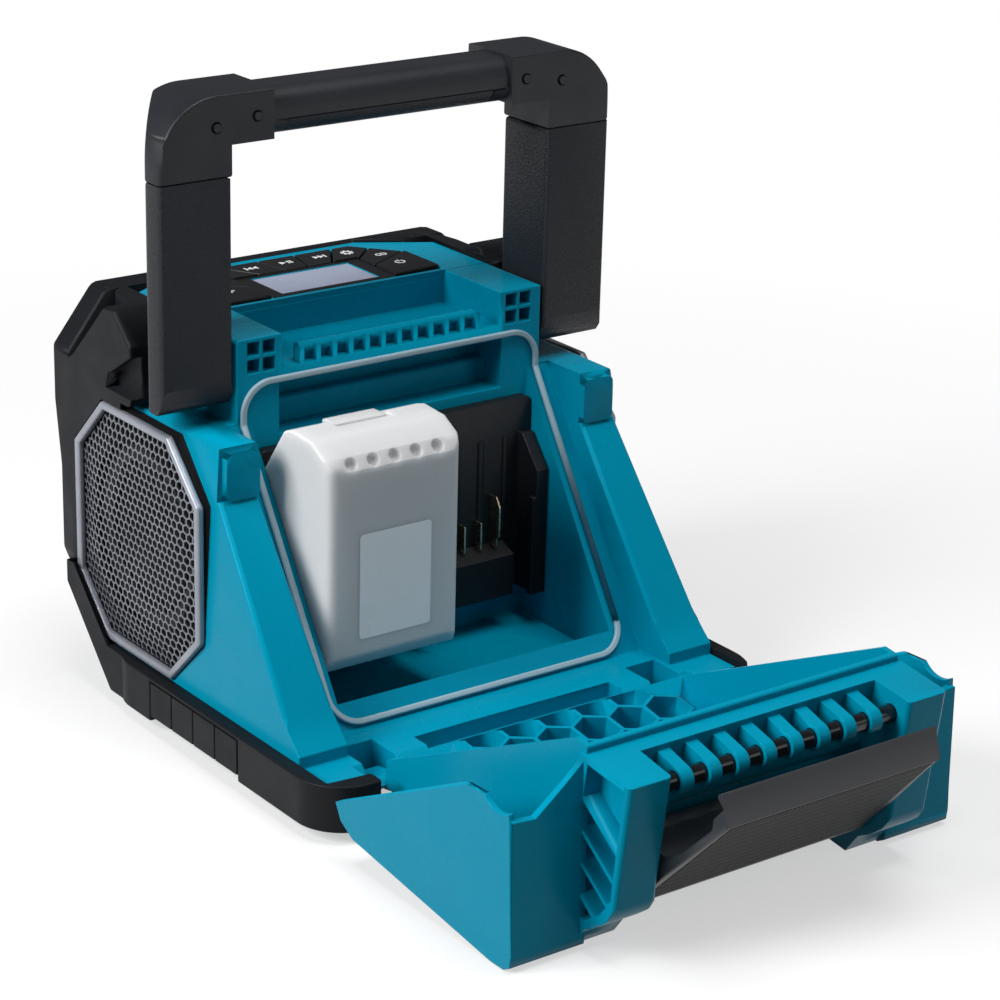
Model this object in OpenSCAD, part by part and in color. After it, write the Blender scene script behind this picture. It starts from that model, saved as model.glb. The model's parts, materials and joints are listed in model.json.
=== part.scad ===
// Job-site speaker with a rear battery bay, shown with its bay door open.
// X is to the right seen from behind, +Y points to the speaker's front, Z is up.
// The origin lies on the ground, under the middle of the bay's back wall.

/* [Body] */
// Half width of the housing at its foot
foot_half_w = 120.5; // [114:0.5:126]
// Half width of the housing at its shoulders
shoulder_half_w = 113.5; // [110:0.5:118]
// Height of the shoulders
shoulder_z = 154; // [150:0.5:160]
// Half width of the column that carries the top panel
column_half_w = 88; // [85:0.5:91]
// Height of the top panel's face
panel_z = 194; // [190:0.5:204]
// Housing front, measured from the bay's back wall
front_y = 96; // [92:1:106]
// Housing wall
wall = 3; // [2:0.25:4]
// Height and run of the slant under the front
front_slant = 44; // [34:1:50]
// Height of the rubber sole
sole_h = 6; // [4:0.5:8]

/* [Battery bay] */
// Half width of the bay
bay_half_w = 80; // [78:0.5:82]
// Half width inside the wings
wing_half_in = 94; // [92:0.5:96]
// Height of the sill
sill_z = 26; // [24:0.5:28]
// Where the sloped sealing face meets the bay wall
slope_top_z = 152.5; // [148:0.5:153]
// Run of the sloped sealing face
slope_run = 81; // [76:1:86]
// Width of the seal
seal_w = 3; // [2.5:0.25:5]
// Height of the seal over its seat
seal_h = 2.4; // [1.5:0.1:3.5]
// Teeth on the latch comb
comb_teeth = 12; // [6:1:16]
// Half length of the latch comb
comb_half_w = 51; // [44:0.5:56]
// Height of the latch comb
comb_h = 9; // [7:0.5:10]

/* [Door] */
// Angle of the open door, from shut
door_open = 97; // [60:1:97]
// Hinge axis behind the bay wall
hinge_back = 104; // [100:0.5:108]
// Height of the hinge axis
hinge_z = 11; // [10:0.25:13]
// Hinge pin radius
hinge_r = 2; // [1.5:0.1:2.5]
// Outer half width over the door's flanks
flank_half_w = 124; // [123:0.5:128]
// Door wall
door_wall = 2.8; // [2:0.1:3.4]
// Door's outer face, ahead of the hinge axis
door_face_v = 8; // [6:0.5:9]
// Half width of the latch housing
latch_half_w = 88; // [84:0.5:89]
// Half width of the lever's recess
recess_half_w = 65.4; // [62:0.2:68]
// Angle of the lever, from latched
lever_open = 35.5; // [0:0.5:36]
// Latch rod radius
rod_r = 4; // [3:0.25:5]
// Fingers that carry the latch rod
fingers = 8; // [4:1:9]

/* [Handle] */
// Outer half width of the handle
handle_half_w = 127.5; // [124:0.5:132]
// Depth of the posts
post_d = 36; // [32:0.5:38]
// Height of the handle's top
handle_top = 310.5; // [296:0.5:330]
// Drop of the seam between post and grip, below the handle's top
seam_drop = 38.5; // [34:0.5:44]
// Height of the handle's pivot
pivot_z = 176; // [174:0.5:178]
// Pivot pin radius
pivot_r = 6; // [4:0.25:7]
// Height of the grip over the hand opening
grip_h = 23.5; // [22:0.5:28]

/* [Speakers] */
// Height of the side grille ring
ring_af = 122; // [112:1:122]
// Depth of the side grille ring
ring_d = 116; // [108:1:118]
// Corner cut of the side grille ring
ring_cut = 27; // [24:0.5:36]
// Width of the side grille ring
ring_w = 4; // [3:0.5:9]
// Ring centre ahead of the bay wall
ring_y = 37; // [35:0.5:37]
// Ring centre height
ring_z = 91; // [90:0.5:92]
// Pitch of the grille's cells
cell_pitch = 8; // [7:0.5:12]
// Web between the grille's cells
cell_web = 1.6; // [1:0.1:2.5]
// Woofer flange radius
woofer_r = 58; // [52:1:58]
// Side driver flange radius
driver_r = 46; // [42:0.5:48]

/* [Battery] */
// Battery centre, left of the middle
battery_x = -42; // [-44:0.5:-41]
// Battery width
battery_w = 75; // [70:0.5:75]
// Battery length
battery_l = 112; // [104:1:116]
// Battery depth from the bay wall
battery_d = 65; // [58:0.5:66]
// Height of the battery's lower end
battery_z = 47; // [46:0.5:50]

/* [Top panel] */
// Display window width
lcd_w = 57; // [50:0.5:62]
// Display window depth
lcd_d = 29; // [26:0.5:32]
// Travel of the keys
key_travel = 1; // [0.6:0.1:1.2]
// Gap round each key
key_gap = 0.4; // [0.3:0.05:0.6]

/* [Ports] */
// Width of a port cap
cap_w = 19; // [17:0.25:20]
// Height of the port caps
cap_h = 17.5; // [15:0.5:18]
// Thickness of the port caps
cap_t = 4; // [3:0.25:4.5]

/* [Hidden] */
$fn = 48;
// Clearances: running fit, seated fit and free gap
fit = 0.05;
seat = 0.2;
free = 0.4;
cut = 1;
bumper_t = 7.5;
bumper_half_w = foot_half_w + bumper_t;
bumper_top = 29;
toe_back = hinge_back + 24;
sill_back = hinge_back + 14;
bay_floor = sill_z - 4;
slope_a = atan2(slope_run, slope_top_z - sill_z);
slope_len = norm([slope_run, slope_top_z - sill_z]);
hinge_y = -hinge_back;
panel_t = 3;
panel_base = panel_z - panel_t;
key_floor = panel_z - 8.6;
woofer_z = 118;
woofer_depth = 44;
deck_z = panel_z - 17;
comb_y = 2;
comb_d = 7;
// The seal's loop: half width, its top over the pocket, and its foot along the slope
seal_half = bay_half_w + 5;
seal_top = deck_z - 3;
seal_foot = slope_len - seal_w / 2 - 1;
seal_r = 15;
pocket_half = 64.5;
pocket_z = [slope_top_z - 7.5, seal_top - seal_w - 1];
pocket_d = 22;
pocket_step = pocket_z[0] + 12;
baffle_t = 4;
baffle_y = front_y + baffle_t;
frame_front = front_y + 20;
frame_half_w = foot_half_w + 1;
rim_top = panel_z + 1.5;
pod_x = foot_half_w - 2;
ring_t = 4;
mesh_t = 1.4;
// Door heights over the hinge axis, and door faces in the shut place
door_face_y = hinge_y + door_face_v;
shell_top = hinge_z + 152;
end_z = shell_top + 12;
corner_cut = 14;
block_top = hinge_z + 182.5;
trough_half = seal_half + door_wall / 2;
rod_y = hinge_y + 88;
rod_z = hinge_z + 172.5;
lever_y = hinge_y + 55;
lever_z = hinge_z + 162;
lever_pin_r = 3;
// Hook face at the top of each wing, and where the wing's slope begins
hook_face = -26;
hook_foot = shoulder_z - 25.5;
pivot_y = post_d / 2;
seam_z = handle_top - seam_drop;
hand_z = handle_top - grip_h;
post_in = column_half_w + 1.5;
post_foot = 12.5;
key_rear = 50;
arch_half = 64;
arch_front = 106;
lcd_y = 68.5;
lcd_rim = 7.5;
cap_first = 5.5;
cap_pitch = cap_w + 0.6;
cap_hinge_z = sole_h + 3.6;
port_y = [for (i = [0 : 3]) cap_first - i * cap_pitch];
teal = "darkcyan";
ink = "dimgray";

// Extrude a drawing of (x, z) along Y, and one of (y, z) along X
module along_y(y0, y1) translate([0, y1, 0]) rotate([90, 0, 0]) linear_extrude(y1 - y0) children();
module along_x(x0, x1) translate([x0, 0, 0]) rotate([90, 0, 90]) linear_extrude(x1 - x0) children();
module along_z(z0, z1) translate([0, 0, z0]) linear_extrude(z1 - z0) children();
module box(x, y, z) translate([x[0], y[0], z[0]]) cube([x[1] - x[0], y[1] - y[0], z[1] - z[0]]);
module both_sides() { children(); mirror([1, 0, 0]) children(); }
module rod_x(r, x0, x1) translate([x0, 0, 0]) rotate([0, 90, 0]) cylinder(r = r, h = x1 - x0);

// A rectangle with round corners, between two corners
module round_rect(a, b, r) {
    translate([a[0] + r, a[1]]) square([b[0] - a[0] - 2 * r, b[1] - a[1]]);
    translate([a[0], a[1] + r]) square([b[0] - a[0], b[1] - a[1] - 2 * r]);
    for (x = [a[0] + r, b[0] - r], y = [a[1] + r, b[1] - r]) translate([x, y]) circle(r);
}

// The ring's outline, grown on every side: height along x and depth along y
module octagon(grow) {
    h = ring_af / 2 + grow;
    w = ring_d / 2 + grow;
    leg = ring_cut + grow * (2 - sqrt(2));
    polygon([
        [leg - h, -w], [h - leg, -w], [h, leg - w], [h, w - leg],
        [h - leg, w], [leg - h, w], [-h, w - leg], [-h, leg - w]]);
}

// Hexagon cells that fill a square field
module cells(field, pitch, web) {
    rows = floor(field / 2 / (pitch * sin(60)));
    cols = floor(field / 2 / pitch);
    for (j = [-rows : rows], i = [-cols : cols])
        translate([(i + (abs(j) % 2) / 2) * pitch, j * pitch * sin(60)])
            rotate(30) circle((pitch - web) / 2 / cos(30), $fn = 6);
}

// Housing

module housing_front_outline(inset) {
    polygon([
        [-foot_half_w + inset, sole_h + inset], [foot_half_w - inset, sole_h + inset],
        [foot_half_w - inset, bumper_top], [shoulder_half_w - inset, shoulder_z - inset],
        [column_half_w - inset, shoulder_z - inset], [column_half_w - inset, panel_base + cut],
        [-column_half_w + inset, panel_base + cut], [-column_half_w + inset, shoulder_z - inset],
        [-shoulder_half_w + inset, shoulder_z - inset], [-foot_half_w + inset, bumper_top]]);
}

// The wings: shoulder, hook face, slope and flared toe
module wing_profile() {
    polygon([
        [front_y - front_slant, sole_h], [front_y, sole_h + front_slant], [front_y, shoulder_z],
        [hook_face, shoulder_z], [hook_face, hook_foot], [hook_face - 2.5, hook_foot],
        [-90.5, 46.5], [-94.5, 41], [-99, 36.5],
        [-hinge_back, sill_z + 6], [-hinge_back, sill_z], [-toe_back, sill_z], [-toe_back, sole_h]]);
}

module column_profile() {
    polygon([
        [0, shoulder_z - cut], [front_y, shoulder_z - cut], [front_y, panel_base], [47, panel_base],
        [47, panel_z], [0, panel_z]]);
}

// Everything behind the sealing face, between the wings
module behind_seal_profile() {
    polygon([
        [-200, sill_z], [-slope_run, sill_z], [0, slope_top_z], [0, panel_z + cut], [-200, panel_z + cut]]);
}

module comb() {
    pitch = 2 * comb_half_w / (comb_teeth - 1);
    bead = comb_d / 2 - 0.8;
    along_x(-comb_half_w, comb_half_w) {
        translate([comb_y + comb_d - bead, deck_z - cut]) square([bead, comb_h + cut - bead]);
        translate([comb_y + comb_d - bead, deck_z + comb_h - bead]) circle(bead);
    }
    for (i = [0 : comb_teeth - 1])
        box([-1.2, 1.2] + (i * pitch - comb_half_w) * [1, 1], [comb_y - 0.6, comb_y + comb_d - bead],
            [deck_z - cut, deck_z + comb_h - 1.2]);
}

// Two by two square holes in the rear face of a block
module block_holes() {
    for (x = [66.8, 75.3], z = [panel_z - 17, panel_z - 8.5]) box([x, x + 6.6], [-cut, 9], [z, z + 6.6]);
}

module sill_notches() {
    both_sides() {
        box([74.5, 92.5], [-toe_back - cut, hinge_y + 10], [0, sill_z + cut]);
        translate([0, hinge_y, hinge_z]) rod_x(hinge_r + fit, 66, 100.5);
    }
    box([-57, 57], [hinge_y - 11, hinge_y + 1], [sill_z - 8, sill_z + cut]);
    along_x(-98, 98)
        polygon([
            [-toe_back - cut, 0], [-sill_back, 0], [-sill_back, sill_z - 5], [-sill_back + 5, sill_z],
            [-sill_back + 5, sill_z + cut], [-toe_back - cut, sill_z + cut]]);
}

module chamber() {
    intersection() {
        along_y(wall, front_y + cut) housing_front_outline(wall);
        union() {
            along_x(-foot_half_w, foot_half_w)
                polygon([
                    [wall, sole_h + wall], [front_y - front_slant, sole_h + wall],
                    [front_y + cut, sole_h + front_slant + wall], [front_y + cut, shoulder_z - wall],
                    [pocket_d + wall, shoulder_z - wall], [pocket_d + wall, pocket_z[0] - wall],
                    [wall, pocket_z[0] - wall]]);
            box([-column_half_w, column_half_w], [50, front_y + cut], [shoulder_z - 10, panel_base + cut]);
        }
    }
    // The hollow of each wing, open to the chamber
    intersection() {
        along_y(-100, wall + cut) housing_front_outline(wall);
        both_sides() along_x(bay_half_w + wall, foot_half_w)
            polygon([
                [wall + cut, sole_h + wall], [-60, sole_h + wall], [-66, 30], [-66, 41],
                [wall + cut, slope_top_z - 7.5]]);
    }
}

module rear_housing() {
    color(teal) difference() {
        union() {
            intersection() {
                along_y(-toe_back, front_y) housing_front_outline(0);
                along_x(-foot_half_w, foot_half_w) wing_profile();
            }
            along_x(-column_half_w, column_half_w) column_profile();
            both_sides() translate([0, ring_y, ring_z]) rotate([0, 90, 0])
                along_z(shoulder_half_w - 8, pod_x) octagon(0);
            both_sides() along_y(hook_face - 4, hook_face + cut)
                round_rect([wing_half_in, hook_foot + 0.5], [shoulder_half_w - 1.5, shoulder_z - 2.5], 3);
        }
        difference() {
            chamber();
            both_sides() translate([0, ring_y, ring_z]) rod_x(driver_r + 5, pod_x - 11, pod_x);
        }
        both_sides() translate([0, ring_y, ring_z]) rotate([0, 90, 0])
            along_z(pod_x, pod_x + 20) octagon(free);
        along_x(-wing_half_in, wing_half_in) behind_seal_profile();
        box([-bay_half_w, bay_half_w], [-slope_run + 7, 0], [bay_floor, shoulder_z]);
        box([-pocket_half, pocket_half], [-cut, pocket_d], [pocket_step, pocket_z[1]]);
        box([-pocket_half, pocket_half], [-cut, pocket_d - 7], [pocket_z[0], pocket_step + cut]);
        difference() {
            box([-63, 63], [-cut, 47], [deck_z, panel_z + cut]);
            comb();
        }
        both_sides() {
            block_holes();
            translate([0, pivot_y, pivot_z]) rod_x(pivot_r + fit, column_half_w - 14, column_half_w + cut);
            translate([0, ring_y, ring_z]) {
                rod_x(driver_r + seat, pod_x - 7, pod_x + cut);
                rod_x(driver_r - 4, 60, pod_x);
            }
        }
        sill_notches();
        for (y = port_y) port_hole(y);
    }
}

// Openings for the port sockets through the wall
module port_hole(y) {
    box([-foot_half_w - cut, -foot_half_w + wall + cut], [y - 6, y + 6],
        [cap_hinge_z + 4, cap_hinge_z + 12]);
}

module frame_outline() {
    polygon([
        [-110, sole_h + front_slant - 10], [110, sole_h + front_slant - 10], [frame_half_w - 2.7, 62],
        [frame_half_w - 2.7, 105], [frame_half_w, 140], [frame_half_w, 168], [100, rim_top],
        [-100, rim_top],
        [-frame_half_w, 168], [-frame_half_w, 140], [2.7 - frame_half_w, 105], [2.7 - frame_half_w, 62]]);
}

module frame_window(grow) {
    polygon([
        [-82 - grow, 62 - grow], [82 + grow, 62 - grow], [98 + grow, 78], [98 + grow, 152],
        [78 + grow, 174 + grow], [-78 - grow, 174 + grow], [-98 - grow, 152], [-98 - grow, 78]]);
}

module front_baffle() {
    color(ink) difference() {
        along_y(front_y, baffle_y) intersection() {
            housing_front_outline(2);
            translate([-150, sole_h + front_slant]) square([300, key_floor - sole_h - front_slant]);
        }
        translate([0, 0, woofer_z]) rotate([-90, 0, 0]) cylinder(r = woofer_r - 6, h = 200);
    }
}

module panel_outline(grow) {
    polygon([
        [-column_half_w - grow, 47 - grow], [column_half_w + grow, 47 - grow],
        [column_half_w + grow, 92 + grow / 2], [52 + grow / 2, 113 + grow],
        [-52 - grow / 2, 113 + grow], [-column_half_w - grow, 92 + grow / 2]]);
}

// Shoulder bumper with a hand pocket in its slanted face
module shoulder_bumper() {
    difference() {
        along_x(column_half_w + 2, frame_half_w)
            polygon([
                [post_d + 4, shoulder_z + 2], [post_d + 4, 186], [55, 200], [63, 200], [95, 168],
                [baffle_y, 165],
                [baffle_y, shoulder_z + 2]]);
        translate([0, 79, 184]) rotate([45, 0, 0]) box([102, frame_half_w - 4], [-13, 13], [-8, 12]);
        along_x(frame_half_w - 7, frame_half_w + cut)
            polygon([[post_d + 2, 160], [post_d + 2, 182], [60, 168], [64, 160]]);
    }
}

// Cheek of the frame that follows the side ring
module cheek() {
    along_x(foot_half_w - 1.2, frame_half_w) difference() {
        polygon([[50, 157], [baffle_y, 157], [baffle_y, 62], [70, 62], [50, 140]]);
        translate([ring_y, ring_z]) rotate(90) octagon(0.7);
    }
}

module front_frame() {
    color("black") difference() {
        union() {
            along_y(baffle_y, frame_front) difference() {
                frame_outline();
                frame_window(0);
            }
            both_sides() cheek();
            both_sides() shoulder_bumper();
            along_z(panel_base - 14, rim_top)
                polygon([
                    [98, 42], [98, 96], [68, frame_front], [-68, frame_front], [-98, 96], [-98, 42],
                    [-column_half_w - 0.5, 42], [-column_half_w - 0.5, baffle_y],
                    [column_half_w + 0.5, baffle_y],
                    [column_half_w + 0.5, 42]]);
        }
        along_z(panel_base, panel_z + 20) panel_outline(seat);
        along_z(key_floor, panel_base + cut) arch(-0.5);
    }
}

module front_grille() {
    color("black") along_y(frame_front - 8, frame_front - 6) difference() {
        frame_window(-seat);
        translate([0, 117]) intersection() {
            cells(190, 2 * cell_pitch, 2 * cell_web);
            translate([-90, -46]) square([180, 96]);
        }
    }
    color("black") along_y(baffle_y, frame_front - 8) difference() {
        frame_window(-seat);
        frame_window(-seat - 3);
    }
}

module bumper_plan(grow) {
    round_rect([-bumper_half_w - grow, -toe_back - 10 - grow],
        [bumper_half_w + grow, front_y - front_slant + 8], 24);
}

module base_bumper() {
    color("black") difference() {
        union() {
            along_z(sole_h, bumper_top) bumper_plan(0);
            both_sides() along_x(foot_half_w + 0.3, bumper_half_w - 2)
                polygon([
                    [30, sole_h], [front_y - front_slant + 6, sole_h],
                    [baffle_y - 0.5, sole_h + front_slant],
                    [baffle_y - 0.5, 61.7], [front_y - 4, 61.7], [60, bumper_top], [30, bumper_top]]);
        }
        box([-foot_half_w - 0.3, foot_half_w + 0.3], [-toe_back - 0.3, 200], [0, 100]);
        box([-98, 98], [-200, -toe_back + cut], [0, 100]);
        both_sides() along_x(foot_half_w - cut, foot_half_w + 4)
            translate([ring_y, ring_z]) rotate(90) octagon(0.7);
        box([-bumper_half_w - cut, -bumper_half_w + cap_t + free],
            [port_y[3] - cap_pitch / 2 - 0.3, port_y[0] + cap_pitch / 2 + 0.3],
            [0, cap_hinge_z + cap_h - 0.6 + free]);
        for (y = port_y)
            box([-bumper_half_w, -foot_half_w + cut], [y - 6, y + 6], [cap_hinge_z + 4, cap_hinge_z + 12]);
    }
}

module rubber_sole() {
    color("black") along_z(0, sole_h) round_rect([-70, hinge_y - 8], [70, front_y - front_slant], 18);
}

// Side and front speakers, drawn with their axis along Z and their flange face at zero

module driver_body(r, depth) {
    magnet = 0.65 * r;
    rotate_extrude() polygon([
        [r - 8.8, 0], [r, 0], [r, -3], [r - 6, -3], [magnet - 3, -0.6 * depth], [magnet, -0.6 * depth],
        [magnet, -depth], [0, -depth], [0, -0.58 * depth], [7, -0.58 * depth], [7, -depth + 4],
        [9.6, -depth + 4], [9.6, -0.58 * depth], [magnet - 6, -0.58 * depth], [r - 9.6, -3],
        [r - 8.8, -3]]);
}

module driver_cone(r, depth) {
    rotate_extrude() polygon([
        [r - 15, -1], [r - 15, -2.2], [9, -0.4 * depth], [9, -depth + 9], [7.6, -depth + 9],
        [7.6, -0.38 * depth], [0, -0.3 * depth], [0, -0.28 * depth], [10, -0.36 * depth]]);
}

module driver_surround(r) {
    rotate_extrude() translate([r - 11.9, -1]) difference() {
        circle(2.8);
        circle(2);
        translate([-5, -10]) square([10, 10]);
    }
}

module at_side(side) {
    if (side > 0) translate([pod_x - 4, ring_y, ring_z]) rotate([0, 90, 0]) children();
    else translate([-pod_x + 4, ring_y, ring_z]) rotate([0, -90, 0]) children();
}

module at_front() translate([0, front_y, woofer_z]) rotate([-90, 0, 0]) children();

module grille_ring(side) {
    color("lightgray") at_side(side) along_z(4, 4 + ring_t) difference() {
        octagon(0);
        octagon(-ring_w);
    }
}

// Whether a whole cell at a point leaves the margin free inside the ring
function in_ring(x, y, margin) =
    abs(x) <= ring_af / 2 - margin && abs(y) <= ring_d / 2 - margin
    && abs(x) + abs(y) <= (ring_af + ring_d) / 2 - ring_cut - margin * sqrt(2);

// The punched holes of a side mesh, whole ones only
module ring_cells() {
    margin = ring_w + 3.5 + cell_pitch / 2;
    rows = ceil(ring_d / 2 / (cell_pitch * sin(60)));
    cols = ceil(ring_af / 2 / cell_pitch);
    for (j = [-rows : rows], i = [-cols : cols]) {
        x = (i + (abs(j) % 2) / 2) * cell_pitch;
        y = j * cell_pitch * sin(60);
        if (in_ring(x, y, margin))
            translate([x, y]) rotate(30) circle((cell_pitch - cell_web) / 2 / cos(30), $fn = 6);
    }
}

module grille_mesh(side) {
    color("gray") at_side(side) {
        along_z(4 + ring_t - 1 - mesh_t, 4 + ring_t - 1) difference() {
            octagon(-ring_w - seat / 2);
            ring_cells();
        }
        along_z(4, 4 + ring_t - 1 - mesh_t) difference() {
            octagon(-ring_w - seat / 2);
            octagon(-ring_w - 2.5);
        }
    }
}

module side_driver(side) color("dimgray") at_side(side) driver_body(driver_r, 42);
module side_cone(side) color("gray") at_side(side) driver_cone(driver_r, 42);
module side_surround(side) color("black") at_side(side) driver_surround(driver_r);

module woofer_basket() color("dimgray") at_front() driver_body(woofer_r, woofer_depth);
module woofer_cone() color("gray") at_front() driver_cone(woofer_r, woofer_depth);
module woofer_surround() color("black") at_front() driver_surround(woofer_r);

// Top panel, display and keys

module arch(gap) {
    polygon([
        [-arch_half + gap, key_rear + gap], [-arch_half + gap, 82 - gap / 2],
        [-44 + gap / 2, arch_front - gap],
        [44 - gap / 2, arch_front - gap], [arch_half - gap, 82 - gap / 2],
        [arch_half - gap, key_rear + gap]]);
}

module display_field(gap) {
    translate([-lcd_w / 2 - lcd_rim - gap, key_rear - 0.5 - gap])
        square([lcd_w + 2 * lcd_rim + 2 * gap, lcd_y + lcd_d / 2 + 3 - key_rear + 2 * gap]);
}

// One key: the slice of the arch between two angles round the display
module key_face(from, to) {
    difference() {
        intersection() {
            difference() {
                arch(key_gap);
                display_field(key_gap);
            }
            translate([0, key_rear])
                polygon([[0, 0], 150 * [cos(from), sin(from)], 150 * [cos((from + to)
                    / 2), sin((from + to) / 2)],
                    150 * [cos(to), sin(to)]]);
        }
        for (a = [from, to])
            translate([0, key_rear]) rotate(a) translate([0, -key_gap]) square([160, 2 * key_gap]);
    }
}

module key(from, to) color("black") along_z(panel_z - 7, panel_z + key_travel + 0.2) key_face(from, to);

module top_panel() {
    color(teal) difference() {
        along_z(panel_base, panel_z) panel_outline(0);
        along_z(panel_base - cut, panel_z + cut) difference() {
            arch(0);
            display_field(0);
        }
        along_z(panel_base - cut, panel_z + cut)
            translate([-lcd_w / 2, lcd_y - lcd_d / 2]) square([lcd_w, lcd_d]);
        box([-63, 63], [46, 47.2], [panel_base - cut, panel_z + cut]);
    }
}

module lcd_lens() {
    color("silver") along_z(panel_base, panel_z - 0.4)
        translate([-lcd_w / 2 + seat, lcd_y - lcd_d / 2 + seat])
            square([lcd_w - 2 * seat, lcd_d - 2 * seat]);
}

module lcd_module() {
    color("darkgreen") along_z(panel_base - 6, panel_base) difference() {
        translate([-lcd_w / 2 - 5, lcd_y - lcd_d / 2 - 2]) square([lcd_w + 10, lcd_d + 4]);
        translate([-lcd_w / 2 + 4, lcd_y - lcd_d / 2 + 4]) square([lcd_w - 8, lcd_d - 8]);
    }
}

module key_board() {
    color("green") along_z(panel_base - 7.6, panel_base - 6)
        translate([-arch_half, key_rear + 2]) square([2 * arch_half, front_y - key_rear - 6]);
}

// Bay fittings

// The sloped sealing face: x across, y down the slope, z out of the face
module on_slope() translate([0, 0, slope_top_z]) rotate([-slope_a, 0, 0]) rotate([90, 0, 0]) children();

// The run of the seal between its two bends, down to a depth below them
module seal_bend(depth) {
    outer = seal_half + seal_w / 2;
    inner = seal_half - seal_w / 2;
    outer_r = seal_r + seal_w / 2;
    inner_r = seal_r - seal_w / 2;
    difference() {
        round_rect([-outer, -depth - seal_w], [outer, outer_r], outer_r);
        round_rect([-inner, -depth - seal_w], [inner, inner_r], inner_r);
        translate([-200, -depth - 40]) square([400, depth + 40]);
    }
}

module bay_seal() {
    top_z = seal_top - seal_r - seal_w / 2;
    foot = seal_foot - seal_r;
    s = [-sin(slope_a), -cos(slope_a)];
    n = [-cos(slope_a), sin(slope_a)];
    knee = [0, slope_top_z];
    outer_knee = [-seal_h, slope_top_z + seal_h * (sin(slope_a) - (1 - cos(slope_a)) / tan(slope_a))];
    color("lightgray") {
        on_slope() translate([0, -foot, 0]) along_z(0, seal_h) mirror([0, 1, 0]) seal_bend(30);
        translate([0, 0, top_z]) along_y(-seal_h, 0) seal_bend(30);
        both_sides() along_x(seal_half - seal_w / 2, seal_half + seal_w / 2)
            polygon([
                [0, top_z], knee, knee + foot * s, knee + foot * s + seal_h * n,
                [-seal_h, outer_knee[1]], [-seal_h, top_z]]);
    }
}

terminal_z = [40, 140];
terminal_half = bay_half_w + battery_x - seat;
terminal_t = 6;
rail_x = [terminal_half - 7.5, terminal_half - 0.5];
rail_y = -22;
rail_top = 122;

module terminal(cx) {
    color(ink) translate([cx, 0, 0]) {
        along_y(-terminal_t, 0) round_rect([-terminal_half, terminal_z[0]],
            [terminal_half, terminal_z[1]], 4);
        both_sides() {
            along_x(rail_x[0], rail_x[1])
                polygon([[-terminal_t, terminal_z[0]], [-terminal_t, rail_top], [-terminal_t - 3, rail_top],
                    [rail_y, rail_top - 16], [rail_y, terminal_z[0]]]);
            box([rail_x[0] - 2, rail_x[0]], [rail_y, rail_y + 4], [terminal_z[0], rail_top - 30]);
        }
        along_x(-22, 22)
            polygon([[-terminal_t, terminal_z[0]], [-terminal_t, 66], [-16, 62], [-16, terminal_z[0]]]);
        for (x = [-22, -7, 7, 22]) box([x - 1.5, x + 1.5], [-terminal_t - 0.8, -terminal_t],
            [rail_top - 50, rail_top - 1]);
    }
}

// Blades of the terminal, with their tips cut back
module blades(cx) {
    color("gold") translate([cx, 0, 0]) for (x = [-14, 14])
        along_x(x - 0.5, x + 0.5)
            polygon([[-terminal_t, 66], [-terminal_t, 92], [-11, 92], [-14, 87], [-14, 72], [-12, 70],
                [-12, 66]]);
    color("gold") translate([cx, 0, 0]) for (x = [-5, 5])
        box([x - 0.5, x + 0.5], [-11, -terminal_t], [66, 80]);
}

cover_y = [-24, -7];
neck_half = rail_x[0] - 2 - free;
case_top = battery_z + battery_l;

// The case reaches back to the terminal above the rails and rests on their upper ends
module battery_case() {
    half = battery_w / 2;
    back = -terminal_t - 0.7;
    color("gainsboro") translate([battery_x, 0, 0]) difference() {
        intersection() {
            along_x(-half, half)
                polygon([
                    [cover_y[0], battery_z], [cover_y[0], rail_top - 15], [back - 2, rail_top + 3],
                    [back, rail_top + 7],
                    [-27, case_top - 2], [-34, case_top], [-50, case_top - 1],
                    [-battery_d + 4, case_top - 7],
                    [-battery_d, case_top - 13], [-battery_d, battery_z + 7], [-battery_d + 5, battery_z]]);
            along_z(battery_z - cut, case_top + cut)
                polygon([[-half, back], [-half, -battery_d + 5], [-half + 1.5, -battery_d + 1.5],
                    [-half + 5, -battery_d],
                    [half - 5, -battery_d], [half - 1.5, -battery_d + 1.5], [half, -battery_d + 5],
                    [half, back]]);
        }
        box([-15, 15], [-38, cover_y[0] + 0.3], [case_top - 12, case_top + cut]);
        for (x = [-24, -12, 0, 12, 24]) translate([x, -battery_d + 2, case_top - 10]) sphere(3.4);
    }
}

module battery_cover() {
    cover_top = rail_top - 17;
    color("gainsboro") translate([battery_x, 0, 0]) difference() {
        union() {
            box([-neck_half, neck_half], [cover_y[0], cover_y[1]], [battery_z + 3, cover_top]);
            box([-neck_half - 1.6, neck_half + 1.6], [rail_y + 4.6, cover_y[1] - 2],
                [battery_z + 3, cover_top - 4]);
        }
        for (x = [-14, -5, 5, 14])
            box([x - 1.5, x + 1.5], [-16.4, 0], [battery_z, 96]);
        box([-23, 23], [-16.6, 0], [battery_z, 68]);
        box([-13, 13], [cover_y[1] - 3, 0], [battery_z, case_top]);
    }
}

module battery_button() {
    color("white") translate([battery_x, 0, 0])
        box([-14.6, 14.6], [-34, cover_y[0]], [case_top - 11.6, case_top - 1]);
}

// Handle

module post_plan() {
    polygon([
        [post_in, 0], [handle_half_w - 2, 0], [handle_half_w, 2], [handle_half_w, 13],
        [handle_half_w - 18, post_d], [post_in, post_d]]);
}

module post() {
    color("black") difference() {
        intersection() {
            along_z(pivot_z - post_foot, seam_z) post_plan();
            along_x(0, 200) {
                translate([pivot_y, pivot_z]) circle(post_d / 2);
                translate([0, pivot_z]) square([post_d, 200]);
            }
        }
        translate([0, pivot_y, pivot_z]) rod_x(pivot_r + fit, post_in - cut, post_in + 14);
    }
}

bar_half = 67;
insert_half = 58;
plugs = [[97.4, hand_z + 8.7], [75.7, hand_z + 11.7]];

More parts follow.
